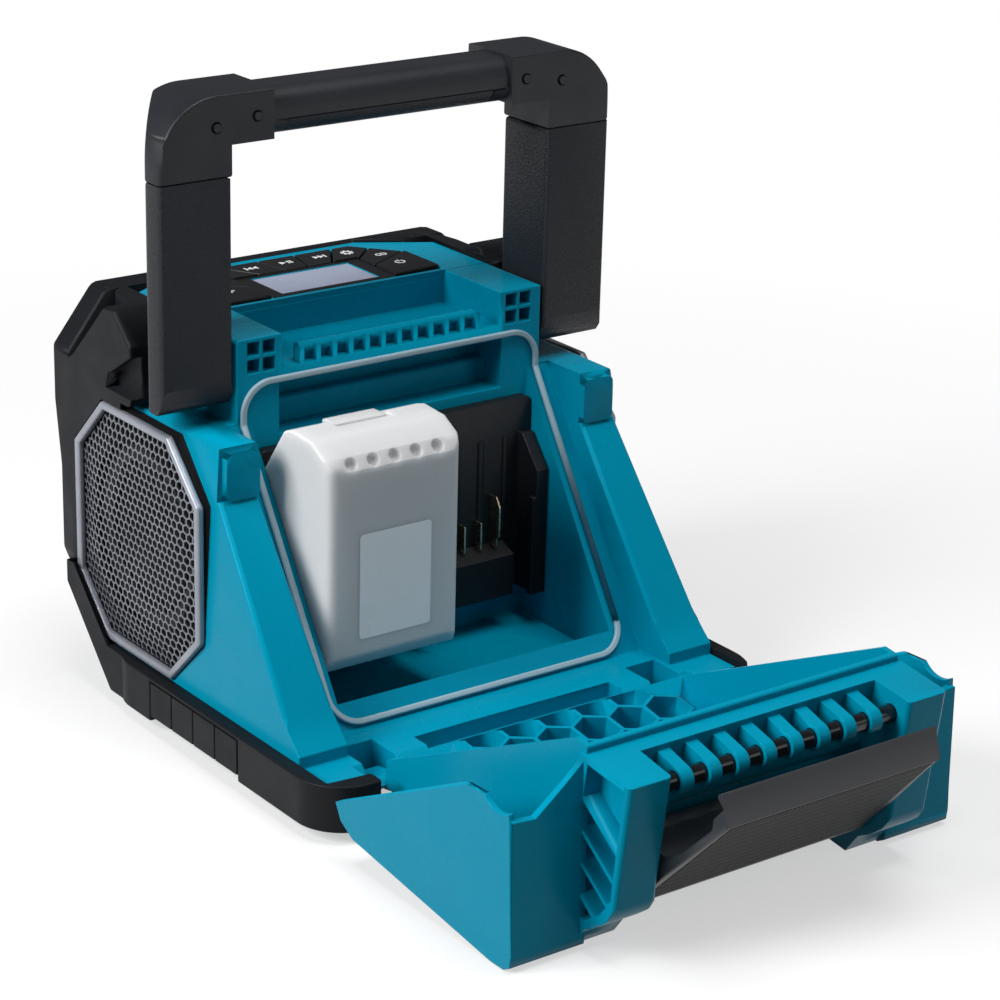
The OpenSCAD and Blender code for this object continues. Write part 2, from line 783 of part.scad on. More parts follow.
module grip_outline() {
    difference() {
        round_rect([-handle_half_w, seam_z - 60], [handle_half_w, handle_top], 31);
        translate([-300, seam_z - 100]) square([600, 100]);
        translate([-post_in, seam_z - 10]) square([2 * post_in, hand_z - seam_z + 10]);
        translate([-bar_half, seam_z]) square([2 * bar_half, 80]);
    }
}

module handle_grip() {
    color("black") difference() {
        union() {
            intersection() {
                along_y(0, post_d) grip_outline();
                both_sides() along_z(seam_z - cut, handle_top + cut)
                    polygon([
                        [0, 0], [handle_half_w - 2, 0], [handle_half_w, 2], [handle_half_w, 13],
                        [handle_half_w - 18, post_d], [0, post_d]]);
            }
            along_x(-bar_half - cut, bar_half + cut)
                round_rect([2, hand_z], [post_d - 2, handle_top - 1.5], grip_h / 2 - 2);
        }
        along_x(-insert_half, insert_half) translate([-cut, hand_z - cut]) square([12, 9]);
        for (p = plugs) both_sides() translate([p[0], 0, p[1]]) rotate([-90, 0, 0])
            translate([0, 0, -cut]) cylinder(r = 2, h = 4);
    }
}

module grip_insert() {
    color("dimgray") intersection() {
        along_x(-insert_half + seat, insert_half - seat) translate([0, hand_z])
            square([11 - seat, 8 - seat]);
        along_x(-bar_half, bar_half) round_rect([2, hand_z],
            [post_d - 2, handle_top - 1.5], grip_h / 2 - 2);
    }
}

module pivot_pins() {
    color("silver") both_sides() translate([0, pivot_y, pivot_z])
        rod_x(pivot_r, column_half_w - 13, post_in + 13);
}

module handle_plugs() {
    color("black") for (p = plugs) both_sides() translate([p[0], 0, p[1]]) rotate([-90, 0, 0])
        translate([0, 0, -0.8]) cylinder(r = 2 - fit, h = 3.6);
}

// Door, drawn shut and swung open about its hinge

module swung() translate([0, hinge_y, hinge_z]) rotate([door_open, 0, 0])
    translate([0, -hinge_y, -hinge_z]) children();

// Line of the rim that meets the seal, in the shut place
rim_gap = seal_h + free;

module rim_profile() {
    dy = rim_gap * cos(slope_a);
    dz = rim_gap * sin(slope_a);
    polygon([
        [door_face_y, sill_z + 2.5], [-slope_run - dy, sill_z + 2.5], [-slope_run - dy, sill_z + dz],
        [-rim_gap, slope_top_z + dz - (dy - rim_gap) / tan(slope_a)], [-rim_gap, seal_top + 1],
        [door_face_y, seal_top + 1]]);
}

module flank_profile() {
    difference() {
        polygon([
            [door_face_y, hinge_z + 48], [door_face_y + 4, hinge_z + 38], [door_face_y + 11, hinge_z + 33],
            [hinge_y + 22, hinge_z + 37], [hinge_y + 78, hinge_z + 121], [hinge_y + 83, shell_top],
            [door_face_y + 8, end_z], [door_face_y + 4, end_z], [door_face_y + 1, end_z - 4],
            [door_face_y, shell_top + 1]]);
        translate([hinge_y + 90, shell_top - 8]) circle(13);
    }
}

// Trough for the packs; its far outer corner is cut back under the latch
module trough() {
    inner = door_face_y + door_wall;
    foot = sill_z + 2.5;
    difference() {
        along_x(-trough_half, trough_half) intersection() {
            rim_profile();
            polygon([
                [door_face_y, 0], [200, 0], [200, shell_top], [door_face_y + corner_cut, shell_top],
                [door_face_y, shell_top - corner_cut]]);
        }
        difference() {
            along_x(-trough_half + door_wall, trough_half - door_wall)
                polygon([
                    [inner, foot + door_wall], [20, foot + door_wall], [20, shell_top - door_wall],
                    [inner + corner_cut, shell_top - door_wall],
                    [inner, shell_top - door_wall - corner_cut]]);
            honeycomb();
        }
    }
}

// Stiffening honeycomb on the trough's floor
module honeycomb() {
    pitch = 21;
    along_y(door_face_y, door_face_y + 20) intersection() {
        difference() {
            translate([-trough_half + 8, sill_z + 4]) square([2 * trough_half - 16, 92]);
            translate([0, sill_z + 50]) cells(170, pitch, 1.8);
        }
        translate([0, sill_z + 50]) rotate(30) circle(74, $fn = 6);
    }
}

// Channel between a flank and the trough, closed by the outer face and a slanted end wall
module side_channel() {
    along_x(flank_half_w - door_wall, flank_half_w) flank_profile();
    along_x(trough_half - cut, flank_half_w - 0.4)
        polygon([
            [door_face_y, hinge_z + 46], [door_face_y + door_wall, hinge_z + 46],
            [door_face_y + door_wall, shell_top],
            [door_face_y + 6, end_z - 4], [door_face_y + 6, end_z], [door_face_y + 4, end_z],
            [door_face_y + 1, end_z - 4],
            [door_face_y, shell_top + 1]]);
    intersection() {
        along_x(trough_half - cut, flank_half_w - 0.4)
            polygon([
                [door_face_y + 4, end_z], [door_face_y + 5, end_z - 4],
                [hinge_y + 97, shell_top - door_wall],
                [hinge_y + 97, shell_top], [door_face_y + 8, end_z]]);
        along_z(0, 300)
            polygon([
                [trough_half - cut, -200], [flank_half_w - 0.4, -200], [flank_half_w - 0.4, hinge_y + 77],
                [112, hinge_y + 76], [96, hinge_y + 88], [trough_half - cut, hinge_y + 97]]);
    }
    for (z = [80, 112]) box([trough_half - cut, flank_half_w - 1],
        [door_face_y + 1, door_face_y + 11], [z, z + 2]);
}

module block_profile() {
    polygon([
        [hinge_y + 10, shell_top - 3], [hinge_y + 10, hinge_z + 160], [hinge_y + 21, hinge_z + 166],
        [hinge_y + 26, hinge_z + 173], [hinge_y + 32, hinge_z + 179], [hinge_y + 40, block_top],
        [hinge_y + 98, block_top], [hinge_y + 98, shell_top - 3]]);
}

// Latch housing: two ladder-ribbed blocks beside the lever's recess
module latch_housing() {
    difference() {
        along_x(-latch_half_w, latch_half_w) intersection() {
            block_profile();
            translate([-300, shell_top - door_wall]) square([300 - rim_gap, 200]);
        }
        along_x(-recess_half_w, recess_half_w)
            polygon([
                [hinge_y, block_top + cut], [hinge_y, shell_top - 10], [hinge_y + 24, shell_top - 10],
                [hinge_y + 28, shell_top + 3.5], [hinge_y + 62, shell_top + 3.5],
                [hinge_y + 66, shell_top + 7], [hinge_y + 120, shell_top + 9],
                [hinge_y + 120, block_top + cut]]);
        both_sides() along_x(latch_half_w - 9, latch_half_w + cut) ladder_cells();
        both_sides() translate([0, lever_y, lever_z])
            rod_x(lever_pin_r + fit, recess_half_w - cut, recess_half_w + 10);
        translate([0, rod_y, rod_z]) rod_x(rod_r + fit, -recess_half_w - 6, recess_half_w + 6);
    }
}

// Five cells between four slanted ribs
module ladder_cells() {
    cell = 13.6;
    difference() {
        polygon([
            [hinge_y + 25, shell_top + 3], [hinge_y + 95, shell_top + 3], [hinge_y + 95, block_top - 3],
            [hinge_y + 43, block_top - 3], [hinge_y + 33, hinge_z + 174], [hinge_y + 25, hinge_z + 165]]);
        for (i = [1 : 4]) translate([hinge_y + 26 + i * cell, shell_top]) rotate(-62)
            translate([-40, -0.9]) square([80, 1.8]);
    }
}

module rod_fingers() {
    pitch = 15;
    for (i = [0 : fingers - 1]) translate([(i - (fingers - 1) / 2) * pitch, 0, 0])
        difference() {
            along_x(-3.2, 3.2) {
                translate([rod_y, rod_z]) circle(rod_r + 2);
                polygon([
                    [rod_y - rod_r - 2, rod_z], [rod_y + rod_r + 2, rod_z],
                    [rod_y + rod_r + 4, shell_top + 2],
                    [rod_y - rod_r - 8, shell_top + 2]]);
            }
            translate([0, rod_y, rod_z]) rod_x(rod_r + fit, -5, 5);
        }
}

module hinge_arms() {
    both_sides() difference() {
        along_x(76, 91) {
            translate([hinge_y, hinge_z]) circle(5.4);
            polygon([
                [hinge_y - 5.4, hinge_z], [hinge_y + 5.4, hinge_z], [hinge_y + 9.4, sill_z - 4],
                [hinge_y + 9.4, sill_z + 4], [door_face_y, sill_z + 4]]);
        }
        translate([0, hinge_y, hinge_z]) rod_x(hinge_r + fit, 70, 100);
    }
}

module door_shell() {
    color(teal) swung() {
        trough();
        both_sides() side_channel();
        latch_housing();
        rod_fingers();
        hinge_arms();
    }
}

module hinge_pins() {
    color("silver") both_sides() translate([0, hinge_y, hinge_z]) rod_x(hinge_r, 66.5, 100.3);
}

module latch_rod() color("black") swung() translate([0, rod_y, rod_z])
    rod_x(rod_r, -recess_half_w - 5.5, recess_half_w + 5.5);

module latch_pins() {
    color("silver") swung() both_sides() translate([0, lever_y, lever_z])
        rod_x(lever_pin_r, recess_half_w - 8, recess_half_w + 9);
}

// Lever, drawn latched and lifted about its pins
module lifted() {
    swung() translate([0, lever_y, lever_z]) rotate([lever_open, 0, 0])
        translate([0, -lever_y, -lever_z]) children();
}

comb_top = deck_z + comb_h;
hook_y = comb_y + comb_d + 0.5;
nose_y = hook_y + 3.6;
// Lever half widths over its pins and over its nose, and the underside that passes the rod's fingers
lever_half = recess_half_w - 0.7;
nose_half = 59;
lever_under = rod_z + rod_r + 2.6;

module lever_profile() {
    translate([lever_y, lever_z]) circle(lever_pin_r + 3);
    polygon([
        [lever_y - 20.5, block_top + 0.5], [lever_y - 20.5, block_top - 4], [lever_y - 8, lever_z + 8],
        [lever_y - 6, lever_z], [lever_y + 6, lever_z], [lever_y + 15, lever_under - 3],
        [lever_y + 23, lever_under],
        [comb_y - 6, lever_under], [comb_y - 2, comb_top + 1], [hook_y, comb_top + 1],
        [hook_y, comb_top - 5],
        [nose_y, comb_top - 5], [nose_y - 7.2, block_top + 0.5]]);
}

module latch_lever() {
    color(ink) lifted() difference() {
        intersection() {
            along_x(-lever_half, lever_half) lever_profile();
            along_z(0, 400)
                polygon([
                    [-lever_half, lever_y - 30], [lever_half, lever_y - 30], [lever_half, lever_y + 8],
                    [nose_half, lever_y + 45], [nose_half, 40], [-nose_half, 40],
                    [-nose_half, lever_y + 45],
                    [-lever_half, lever_y + 8]]);
        }
        both_sides() translate([0, lever_y, lever_z])
            rod_x(lever_pin_r + fit, recess_half_w - 8.5, recess_half_w);
        along_z(block_top - 0.5, block_top + cut) pad_outline(0);
    }
}

module pad_outline(gap) {
    polygon([
        [-lever_half + 3 + gap, lever_y - 18.5 + gap], [lever_half - 3 - gap, lever_y - 18.5 + gap],
        [nose_half - 3 - gap, nose_y - 9 - gap], [3 - nose_half + gap, nose_y - 9 - gap]]);
}

module latch_pad() color("black") lifted() along_z(block_top - 0.5, block_top + 0.7) pad_outline(seat);

// Inside electronics and ports

module main_board() {
    color("green") along_y(wall, wall + 1.6) translate([-66, 36]) square([132, 96]);
    color("silver") box([-40, 40], [wall + 1.6, wall + 16], [44, 62]);
    color("black") for (x = [-45, 45]) translate([x, wall + 1.6, 105]) rotate([-90, 0, 0])
        cylinder(r = 8, h = 18);
}

module port_cap(i) {
    color("black") difference() {
        box([-bumper_half_w, -bumper_half_w + cap_t], [port_y[i] - cap_w / 2, port_y[i] + cap_w / 2],
            [cap_hinge_z - 0.6, cap_hinge_z - 0.6 + cap_h]);
        box([-bumper_half_w + cap_t - 0.8, 0], [port_y[i] - 5, port_y[i] + 5],
            [cap_hinge_z + 5, cap_hinge_z + 11]);
    }
}

module port_sockets() {
    color("silver") for (y = port_y) difference() {
        box([-foot_half_w - 2.4, -foot_half_w + wall + 8], [y - 6 + seat, y + 6 - seat],
            [cap_hinge_z + 4 + seat, cap_hinge_z + 12 - seat]);
        box([-foot_half_w - 3, -foot_half_w + 4], [y - 4, y + 4], [cap_hinge_z + 6, cap_hinge_z + 10]);
    }
}

rear_housing();
front_baffle();
front_frame();
front_grille();
base_bumper();
rubber_sole();
grille_ring(-1);  // ring_left
grille_ring(1);  // ring_right
grille_mesh(-1);  // mesh_left
grille_mesh(1);  // mesh_right
side_driver(-1);  // driver_left
side_driver(1);  // driver_right
side_cone(-1);  // cone_left
side_cone(1);  // cone_right
side_surround(-1);  // surround_left
side_surround(1);  // surround_right
woofer_basket();
woofer_cone();
woofer_surround();
top_panel();
lcd_lens();
lcd_module();
key_board();
key(2, 28);  // key_power
key(28, 43);  // key_pair
key(43, 59);  // key_mode
key(59, 79);  // key_next
key(79, 101);  // key_play
key(101, 121);  // key_prev
key(121, 137);  // key_light
key(137, 152);  // key_minus
key(152, 178);  // key_plus
bay_seal();
terminal(battery_x);  // terminal_left
terminal(-battery_x);  // terminal_right
blades(battery_x);  // blades_left
blades(-battery_x);  // blades_right
battery_case();
battery_cover();
battery_button();
mirror([1, 0, 0]) post();  // post_left
post();  // post_right
handle_grip();
grip_insert();
pivot_pins();
handle_plugs();
door_shell();
hinge_pins();
latch_lever();
latch_pad();
latch_rod();
latch_pins();
main_board();
port_cap(0);  // cap_power
port_cap(1);  // cap_aux
port_cap(2);  // cap_usb_a
port_cap(3);  // cap_usb_c
port_sockets();
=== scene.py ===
import json
from math import cos, pi, radians, sin, sqrt

import bmesh
import bpy
from mathutils import Matrix, Vector
from mathutils.bvhtree import BVHTree


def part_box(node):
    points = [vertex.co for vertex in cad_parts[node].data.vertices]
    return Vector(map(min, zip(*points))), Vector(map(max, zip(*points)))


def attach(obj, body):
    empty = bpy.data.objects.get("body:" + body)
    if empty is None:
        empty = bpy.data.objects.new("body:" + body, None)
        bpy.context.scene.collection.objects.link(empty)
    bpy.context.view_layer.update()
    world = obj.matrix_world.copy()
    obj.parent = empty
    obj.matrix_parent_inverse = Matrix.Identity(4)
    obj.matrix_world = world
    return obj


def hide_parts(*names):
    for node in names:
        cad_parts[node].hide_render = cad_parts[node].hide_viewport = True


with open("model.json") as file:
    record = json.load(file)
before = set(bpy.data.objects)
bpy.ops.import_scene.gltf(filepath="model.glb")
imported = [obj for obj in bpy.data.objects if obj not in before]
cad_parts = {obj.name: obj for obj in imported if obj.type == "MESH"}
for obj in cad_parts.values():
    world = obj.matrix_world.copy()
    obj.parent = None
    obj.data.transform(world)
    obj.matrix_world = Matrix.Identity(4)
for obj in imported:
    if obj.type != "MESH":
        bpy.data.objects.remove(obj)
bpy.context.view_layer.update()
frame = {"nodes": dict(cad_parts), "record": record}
nodes = frame["nodes"]
bodies = frame["record"]["behaviour"]["bodies"]
slots = {part["node"]: part["material_slot"] for part in frame["record"]["subparts"]}
scene = bpy.context.scene

MM = 0.001


def body_with(node):
    return next(body for body, members in bodies.items() if node in members)


def corners_of(node):
    """The lowest and the highest corner of a CAD node's box."""
    low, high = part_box(node)
    return Vector(low), Vector(high)


def all_of(shape):
    return shape.verts[:] + shape.edges[:] + shape.faces[:]


def points_in(geometry):
    return [part for part in geometry if isinstance(part, bmesh.types.BMVert)]


def add_rectangle(shape, width, height, spot=Matrix()):
    """A flat rectangle in XY, moved to its spot."""
    bmesh.ops.create_grid(shape, x_segments=1, y_segments=1, size=0.5,
                          matrix=spot @ Matrix.Diagonal((width, height, 1, 1)))


# Materials

def new_material(name):
    material = bpy.data.materials.new(name)
    material.use_nodes = True
    tree = material.node_tree
    return material, tree, tree.nodes["Principled BSDF"]


def place(tree):
    return tree.nodes.new("ShaderNodeTexCoord").outputs["Object"]


def noise(tree, scale, detail=2.0, rough=0.5):
    node = tree.nodes.new("ShaderNodeTexNoise")
    node.inputs["Scale"].default_value = scale
    node.inputs["Detail"].default_value = detail
    node.inputs["Roughness"].default_value = rough
    tree.links.new(place(tree), node.inputs["Vector"])
    return node.outputs["Fac"]


def cracks(tree, scale):
    node = tree.nodes.new("ShaderNodeTexVoronoi")
    node.feature = "DISTANCE_TO_EDGE"
    node.inputs["Scale"].default_value = scale
    tree.links.new(place(tree), node.inputs["Vector"])
    return node.outputs["Distance"]


def spread(tree, value, low, high, start=0.3, end=0.7):
    node = tree.nodes.new("ShaderNodeMapRange")
    node.inputs["From Min"].default_value = start
    node.inputs["From Max"].default_value = end
    node.inputs["To Min"].default_value = low
    node.inputs["To Max"].default_value = high
    tree.links.new(value, node.inputs["Value"])
    return node.outputs["Result"]


def blend_colours(tree, value, first, second):
    node = tree.nodes.new("ShaderNodeMix")
    node.data_type = "RGBA"
    node.inputs["A"].default_value = (*first, 1)
    node.inputs["B"].default_value = (*second, 1)
    tree.links.new(value, node.inputs["Factor"])
    return node.outputs["Result"]


def bump(tree, height, depth, strength=1.0, under=None):
    node = tree.nodes.new("ShaderNodeBump")
    node.inputs["Strength"].default_value = strength
    node.inputs["Distance"].default_value = depth
    tree.links.new(height, node.inputs["Height"])
    if under:
        tree.links.new(under, node.inputs["Normal"])
    return node.outputs["Normal"]


def moulded(name, colour, shade, roughness, grain_scale, grain_depth, gloss=0.5, tint=(1, 1, 1)):
    """Moulded plastic or rubber: a spark-eroded grain, uneven gloss and a faint drift of colour."""
    material, tree, shader = new_material(name)
    drift = spread(tree, noise(tree, 14, 3), 0, 1)
    tree.links.new(blend_colours(tree, drift, colour, shade), shader.inputs["Base Color"])
    uneven = spread(tree, noise(tree, 60, 4), roughness - 0.05, roughness + 0.06)
    tree.links.new(uneven, shader.inputs["Roughness"])
    shader.inputs["Specular IOR Level"].default_value = gloss
    shader.inputs["Specular Tint"].default_value = (*tint, 1)
    tree.links.new(bump(tree, noise(tree, grain_scale, 3, 0.6), grain_depth), shader.inputs["Normal"])
    return material


def milky(name, colour, shade, roughness, depth):
    """Pale moulded plastic that light soaks into."""
    material = moulded(name, colour, shade, roughness, 1300, 0.00003, 0.3)
    shader = material.node_tree.nodes["Principled BSDF"]
    shader.inputs["Subsurface Weight"].default_value = 0.8
    shader.inputs["Subsurface Radius"].default_value = (1, 1, 1)
    shader.inputs["Subsurface Scale"].default_value = depth
    return material


def leather_grained(name, colour, shade, roughness, gloss=0.5):
    """Hard plastic with the leather grain of the handle's posts."""
    material, tree, shader = new_material(name)
    shader.inputs["Specular IOR Level"].default_value = gloss
    drift = spread(tree, noise(tree, 20, 3), 0, 1)
    tree.links.new(blend_colours(tree, drift, colour, shade), shader.inputs["Base Color"])
    valley = spread(tree, cracks(tree, 620), roughness + 0.12, roughness, 0.02, 0.2)
    tree.links.new(valley, shader.inputs["Roughness"])
    fine = bump(tree, noise(tree, 2600, 2), 0.00003)
    hills = spread(tree, cracks(tree, 620), 0, 1, 0.0, 0.22)
    tree.links.new(bump(tree, hills, 0.00012, 0.8, fine), shader.inputs["Normal"])
    return material


def metal(name, colour, roughness, metallic=1.0):
    """Bare or painted metal with fine rolling marks."""
    material, tree, shader = new_material(name)
    drift = spread(tree, noise(tree, 40, 3), 0, 1)
    darker = tuple(0.8 * c for c in colour)
    tree.links.new(blend_colours(tree, drift, colour, darker), shader.inputs["Base Color"])
    shader.inputs["Metallic"].default_value = metallic
    uneven = spread(tree, noise(tree, 300, 4), roughness - 0.06, roughness + 0.08)
    tree.links.new(uneven, shader.inputs["Roughness"])
    tree.links.new(bump(tree, noise(tree, 1800, 2), 0.00002), shader.inputs["Normal"])
    return material


def cross_hatched(name, colour, shade, pitch):
    """Lever pad: a fine diamond hatch pressed into satin plastic, with painted shade darkening its grooves.
    """
    material, tree, shader = new_material(name)
    heights = []
    for turn in (45, -45):
        spin = tree.nodes.new("ShaderNodeMapping")
        spin.inputs["Rotation"].default_value = (radians(-32), 0, radians(turn))
        tree.links.new(place(tree), spin.inputs["Vector"])
        wave = tree.nodes.new("ShaderNodeTexWave")
        wave.inputs["Scale"].default_value = 1 / pitch / 20 * 2 * pi
        tree.links.new(spin.outputs["Vector"], wave.inputs["Vector"])
        heights.append(wave.outputs["Fac"])
    lower = tree.nodes.new("ShaderNodeMath")
    lower.operation = "MINIMUM"
    tree.links.new(heights[0], lower.inputs[0])
    tree.links.new(heights[1], lower.inputs[1])
    # Painted shade: the hatch's grooves take the darker colour
    tree.links.new(blend_colours(tree, lower.outputs["Value"], shade, colour), shader.inputs["Base Color"])
    tree.links.new(spread(tree, lower.outputs["Value"], 0.7, 0.5, 0, 1), shader.inputs["Roughness"])
    shader.inputs["Specular IOR Level"].default_value = 0.2
    tree.links.new(bump(tree, lower.outputs["Value"], 0.0002), shader.inputs["Normal"])
    return material


def display_glass(name, colour, shade):
    """Unlit display: a grey field under a clear, glossy cover."""
    material, tree, shader = new_material(name)
    drift = spread(tree, noise(tree, 22, 2), 0, 1)
    tree.links.new(blend_colours(tree, drift, colour, shade), shader.inputs["Base Color"])
    tree.links.new(spread(tree, noise(tree, 40, 2), 0.24, 0.3), shader.inputs["Roughness"])
    shader.inputs["Coat Weight"].default_value = 0.4
    shader.inputs["Coat Roughness"].default_value = 0.08
    return material


finishes = {
    "teal_plastic": moulded("teal_shell", (0.0, 0.26, 0.4), (0.0, 0.245, 0.38), 0.28, 1500, 0.00002, 0.16,
                            (0.12, 0.7, 1.0)),
    "black_plastic": leather_grained("post_grain", (0.0105, 0.012, 0.0165), (0.0085, 0.0095, 0.0135),
                                     0.44, 0.35),
    "black_rubber": moulded("bumper_rubber", (0.0075, 0.0085, 0.0105), (0.006, 0.007, 0.009), 0.5,
                            1900, 0.00004, 0.15),
    "ring_grey": metal("ring_silver", (0.34, 0.36, 0.41), 0.36, 0.4),
    "mesh_grey": metal("mesh_powder_coat", (0.22, 0.235, 0.27), 0.32, 0.5),
    "basket_steel": metal("basket_paint", (0.012, 0.012, 0.014), 0.5, 0.2),
    "cone_black": moulded("cone_paper", (0.012, 0.012, 0.014), (0.009, 0.009, 0.011), 0.75, 700, 0.0001, 0.2),
    "seal_grey": moulded("seal_rubber", (0.34, 0.48, 0.55), (0.3, 0.43, 0.5), 0.38, 1400, 0.00003, 0.4),
    "key_black": moulded("key_rubber", (0.009, 0.0095, 0.0115), (0.007, 0.0075, 0.009), 0.45,
                         1700, 0.00003, 0.3),
    "lcd_grey": display_glass("display", (0.4, 0.45, 0.59), (0.35, 0.39, 0.52)),
    "circuit_green": moulded("circuit_board", (0.02, 0.12, 0.05), (0.015, 0.09, 0.04), 0.4, 900, 0.00005),
    "pack_grey": milky("pack_shell", (0.64, 0.645, 0.65), (0.6, 0.605, 0.61), 0.4, 12 * MM),
    "contact_brass": metal("contact_brass", (0.7, 0.6, 0.4), 0.28),
    "pin_steel": metal("pin_steel", (0.55, 0.56, 0.58), 0.3),
    "rod_black": moulded("rod_gloss", (0.006, 0.0065, 0.008), (0.005, 0.0055, 0.0065), 0.16, 500, 0.00001),
}
# The second colour is the painted shade in the pad's hatch grooves
pad_hatch = cross_hatched("pad_hatch", (0.014, 0.0145, 0.017), (0.005, 0.0055, 0.0065), 1.6 * MM)
terminal_plastic = moulded("terminal_plastic", (0.009, 0.0095, 0.012), (0.007, 0.0075, 0.009), 0.4,
                           1200, 0.00003, 0.3)
grip_rubber = moulded("grip_rubber", (0.012, 0.0135, 0.018), (0.0095, 0.0105, 0.0145), 0.46,
                      2200, 0.00004, 0.4)
lever_plastic = moulded("lever_plastic", (0.03, 0.032, 0.038), (0.026, 0.028, 0.033), 0.36,
                        1600, 0.00003, 0.6)
icon_paint = moulded("icon_paint", (0.72, 0.73, 0.74), (0.66, 0.67, 0.68), 0.45, 1200, 0.00001)
# Painted shade for the recessed floor behind the side grilles: near-black, matte and without sheen
pod_painted_shade = moulded("pod_painted_shade", (0.006, 0.006, 0.007), (0.005, 0.005, 0.006), 0.8, 600, 0.00005, 0.1)
label_film = moulded("label_film", (0.93, 0.93, 0.93), (0.9, 0.9, 0.9), 0.3, 400, 0.00001, 0.3)
own_finish = {
    "terminal_left": terminal_plastic,
    "terminal_right": terminal_plastic,
    "handle_grip": grip_rubber,
    "handle_plugs": grip_rubber,
    "latch_lever": lever_plastic,
    "latch_pad": pad_hatch,
}


def finish_for(node):
    return own_finish.get(node, finishes[slots[node]])


# Pieces

def add_piece(name, shape, material, body):
    """Turn a finished bmesh into a piece that rides on a CAD body."""
    mesh = bpy.data.meshes.new(name)
    shape.to_mesh(mesh)
    shape.free()
    piece = bpy.data.objects.new(name, mesh)
    scene.collection.objects.link(piece)
    mesh.materials.append(material)
    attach(piece, body)
    return piece


def even_shading(piece):
    """Shade the rounded edges smoothly and the flats flat, with flats cut into triangles only after that."""
    for face in piece.data.polygons:
        face.use_smooth = True
    piece.data.set_sharp_from_angle(angle=radians(50))
    weigh = piece.modifiers.new("even_shading", "WEIGHTED_NORMAL")
    weigh.keep_sharp = True
    cut = piece.modifiers.new("flat_cuts", "TRIANGULATE")
    cut.min_vertices = 5
    cut.keep_custom_normals = True


def merged_copy(node):
    """A CAD node's loose triangles, joined into whole flats."""
    shape = bmesh.new()
    shape.from_mesh(nodes[node].data)
    bmesh.ops.remove_doubles(shape, verts=shape.verts, dist=0.002 * MM)
    bmesh.ops.dissolve_limit(shape, angle_limit=radians(0.6), verts=shape.verts, edges=shape.edges)
    bmesh.ops.recalc_face_normals(shape, faces=shape.faces)
    return shape


def near_any(edge, points, reach):
    """Whether an edge passes within reach of one of the points."""
    start, along = edge.verts[0].co, edge.verts[1].co - edge.verts[0].co
    for point in points:
        share = min(max((point - start).dot(along) / max(along.length_squared, 1e-12), 0), 1)
        if (start + along * share - point).length < reach:
            return True
    return False


def soften_edges(shape, width, shortest, tight_spots, berth):
    """Round the sharp edges that lie further than a berth from each spot with no room for it.

    Given a shortest length, only outer edges longer than that are rounded."""
    sharp = [edge for edge in shape.edges if edge.is_manifold and edge.calc_face_angle() > radians(28)]
    if shortest:
        sharp = [edge for edge in sharp if edge.is_convex and edge.calc_length() > shortest]
    roomy = [edge for edge in sharp if not near_any(edge, tight_spots, berth)]
    bmesh.ops.bevel(shape, geom=roomy, offset=width, offset_type="OFFSET", affect="EDGES",
                    segments=4 if shortest else 2, profile=0.5, material=-1, clamp_overlap=False)


def in_triangles(shape):
    cut = shape.copy()
    bmesh.ops.triangulate(cut, faces=cut.faces)
    cut.normal_update()
    return cut


def folded_spots(shape, surface, width):
    """Where the rounded shape turned over or left the surface it was cut from."""
    sliver = 0.001 * MM ** 2
    spots = []
    cut = in_triangles(shape)
    for face in cut.faces:
        middle = face.calc_center_median()
        _, normal, _, distance = surface.find_nearest(middle)
        turned = face.calc_area() > sliver and normal.dot(face.normal) < 0.3
        if turned or distance > width:
            spots.append(middle)
    cut.free()
    return spots


def round_where_roomy(source, width, shortest):
    """Round a shape's edges, leaving alone each spot where that would fold its surface.

    The try with the fewest folds is kept. Wide rounds may leave none, and fine ones up to three."""
    surface = BVHTree.FromBMesh(in_triangles(source))
    best, fewest = source, 1 if shortest else 4
    tight_spots = []
    for attempt in range(9):
        shape = source.copy()
        soften_edges(shape, width, shortest, tight_spots, (2 + 1.5 * attempt) * width)
        folded = folded_spots(shape, surface, width)
        if len(folded) < fewest:
            best, fewest = shape, len(folded)
        if not folded:
            break
        tight_spots += folded
    return best


def softened(node, width):
    """Stand in for a CAD node with the same shape, its edges rounded as a moulding's are."""
    shape = merged_copy(node)
    for radius, shortest in outer_edges.get(node, ()):
        shape = round_where_roomy(shape, radius * MM, shortest * MM)
    shape = round_where_roomy(shape, width * MM, 0)
    piece = add_piece(node + "_moulded", shape, finish_for(node), body_with(node))
    even_shading(piece)
    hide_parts(node)


# Radius of each moulding's edges, in millimetres
edge_radius = {
    "rear_housing": 0.5, "front_frame": 1.2, "base_bumper": 1.0, "rubber_sole": 1.5, "top_panel": 0.5,
    "post_left": 2.2, "post_right": 2.2, "handle_grip": 1.2, "grip_insert": 0.4, "door_shell": 0.4,
    "latch_lever": 0.8, "latch_pad": 0.25, "battery_case": 1.2, "battery_cover": 0.6, "battery_button": 0.8,
    "terminal_left": 0.5, "terminal_right": 0.5, "ring_left": 1.2, "ring_right": 1.2, "front_baffle": 0.5,
    "front_grille": 0.3, "cap_power": 0.5, "cap_aux": 0.5, "cap_usb_a": 0.5, "cap_usb_c": 0.5,
    "lcd_lens": 0.2, "blades_left": 0.15, "blades_right": 0.15, "bay_seal": 0.8,
}
# Wider rounds on long outer edges: the radius and the shortest edge, in millimetres
outer_edges = {
    "rear_housing": ((2.0, 30),), "door_shell": ((2.4, 30), (1.2, 24)),
    "front_frame": ((3.2, 30), (2.0, 12)), "base_bumper": ((3.0, 30), (2.0, 12)),
    "battery_case": ((5.0, 30),), "latch_lever": ((2.4, 30), (1.4, 8)),
}
keys = [name for name in nodes if name.startswith("key_") and name != "key_board"]
edge_radius.update({name: 0.8 for name in keys})

for node in nodes:
    if node in edge_radius:
        softened(node, edge_radius[node])
    else:
        own = nodes[node].data.materials
        own.clear()
        own.append(finish_for(node))


# Side grilles

